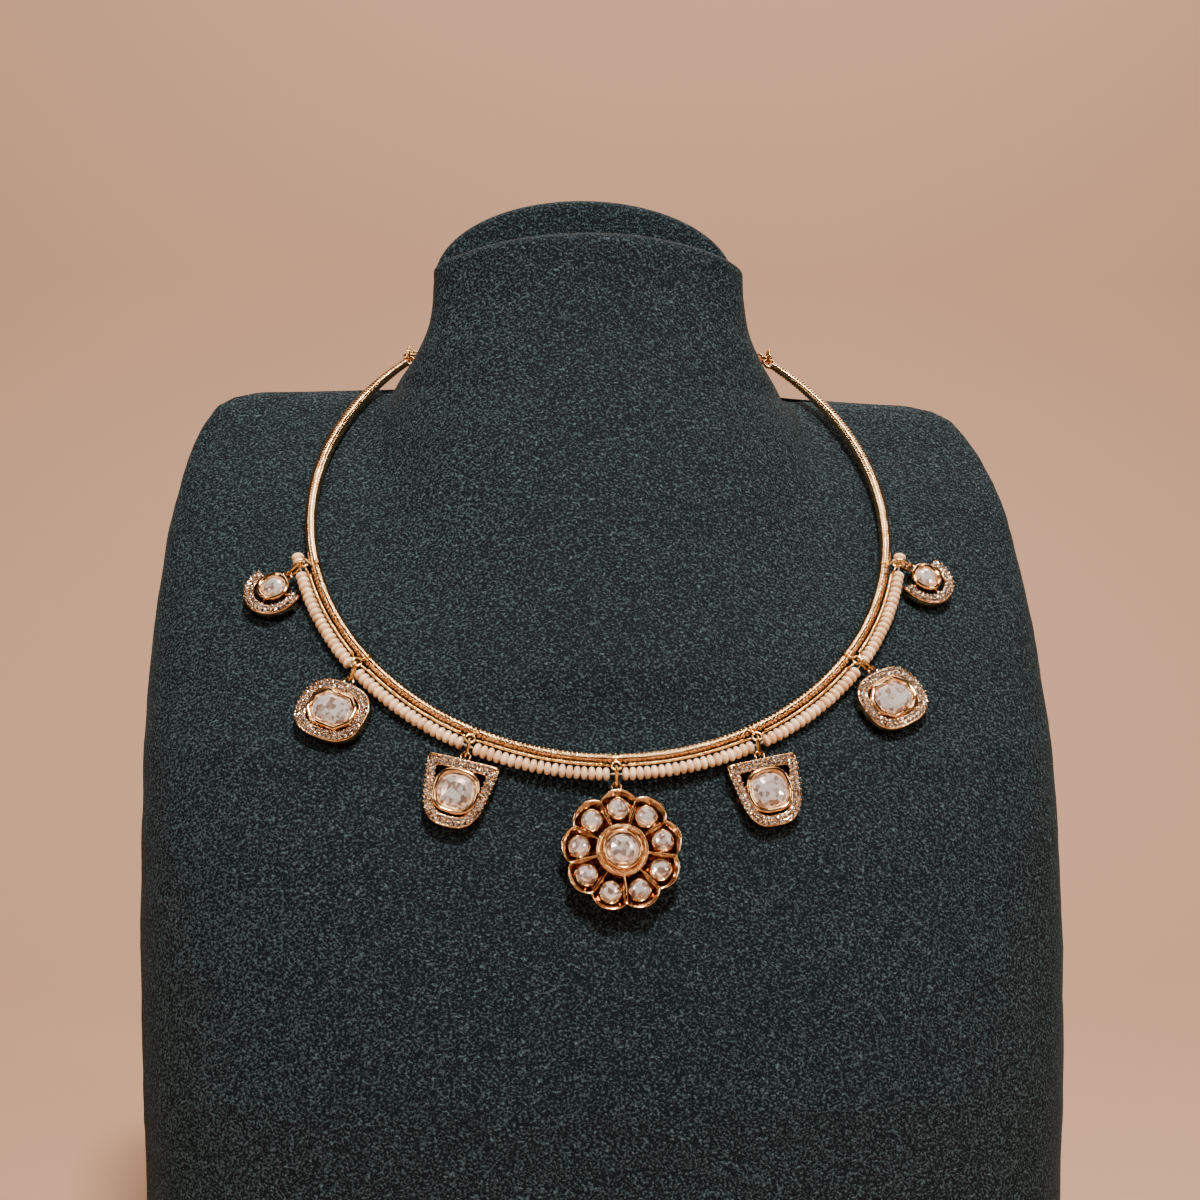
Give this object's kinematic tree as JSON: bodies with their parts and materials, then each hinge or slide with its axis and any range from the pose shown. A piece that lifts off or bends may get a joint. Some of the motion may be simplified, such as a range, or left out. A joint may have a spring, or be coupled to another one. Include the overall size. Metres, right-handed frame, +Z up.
{
  "type": "kundan necklace on a neck bust",
  "caption": "Rigid gold collar necklace with pearl row, back chain and stone-set drops round a flower drop, worn by a plain velvet neck bust.",
  "frame": {"origin": "centre of the box's foot, under the neck bust", "axes": "+Z up, -Y the way the chest and the drops face, +X to the right as seen from the front"},
  "size_m": [0.2036, 0.1, 0.267],
  "materials": {
    "velvet": "dark teal short-pile velvet",
    "gold": "polished warm antique gold plating",
    "pearl": "cream-pink imitation pearl with a soft sheen",
    "crystal": "faceted pale champagne glass, foil-backed",
    "silk": "thin off-white thread"
  },
  "bodies": {
    "root": {"neck_bust": "velvet", "neck_panel": "velvet", "collar_arm_left": "gold", "collar_arm_right": "gold", "core_wire": "gold", "rail_wire": "gold", "tube_sleeve_1": "gold", "tube_sleeve_2": "gold", "tube_sleeve_3": "gold", "tube_sleeve_4": "gold", "tube_sleeve_5": "gold", "tube_sleeve_6": "gold", "pearl_string_1": "pearl", "pearl_string_2": "pearl", "pearl_string_3": "pearl", "pearl_string_4": "pearl", "pearl_string_5": "pearl", "pearl_string_6": "pearl", "pearl_thread": "silk", "end_ring_left": "gold", "end_ring_right": "gold", "back_chain": "gold", "clasp_link": "gold", "drop_link_1": "gold", "drop_link_2": "gold", "drop_link_3": "gold", "drop_link_4": "gold", "drop_link_5": "gold", "drop_link_6": "gold", "drop_link_7": "gold", "crescent_frame_left": "gold", "oval_frame_left": "gold", "shield_frame_left": "gold", "flower_setting": "gold", "shield_frame_right": "gold", "oval_frame_right": "gold", "crescent_frame_right": "gold", "crescent_stone_left": "crystal", "oct_stone_left": "crystal", "shield_stone_left": "crystal", "flower_stone": "crystal", "shield_stone_right": "crystal", "oct_stone_right": "crystal", "crescent_stone_right": "crystal", "petal_stone_1": "crystal", "petal_stone_2": "crystal", "petal_stone_3": "crystal", "petal_stone_4": "crystal", "petal_stone_5": "crystal", "petal_stone_6": "crystal", "petal_stone_7": "crystal", "petal_stone_8": "crystal", "petal_stone_9": "crystal"}
  },
  "joints": []
}
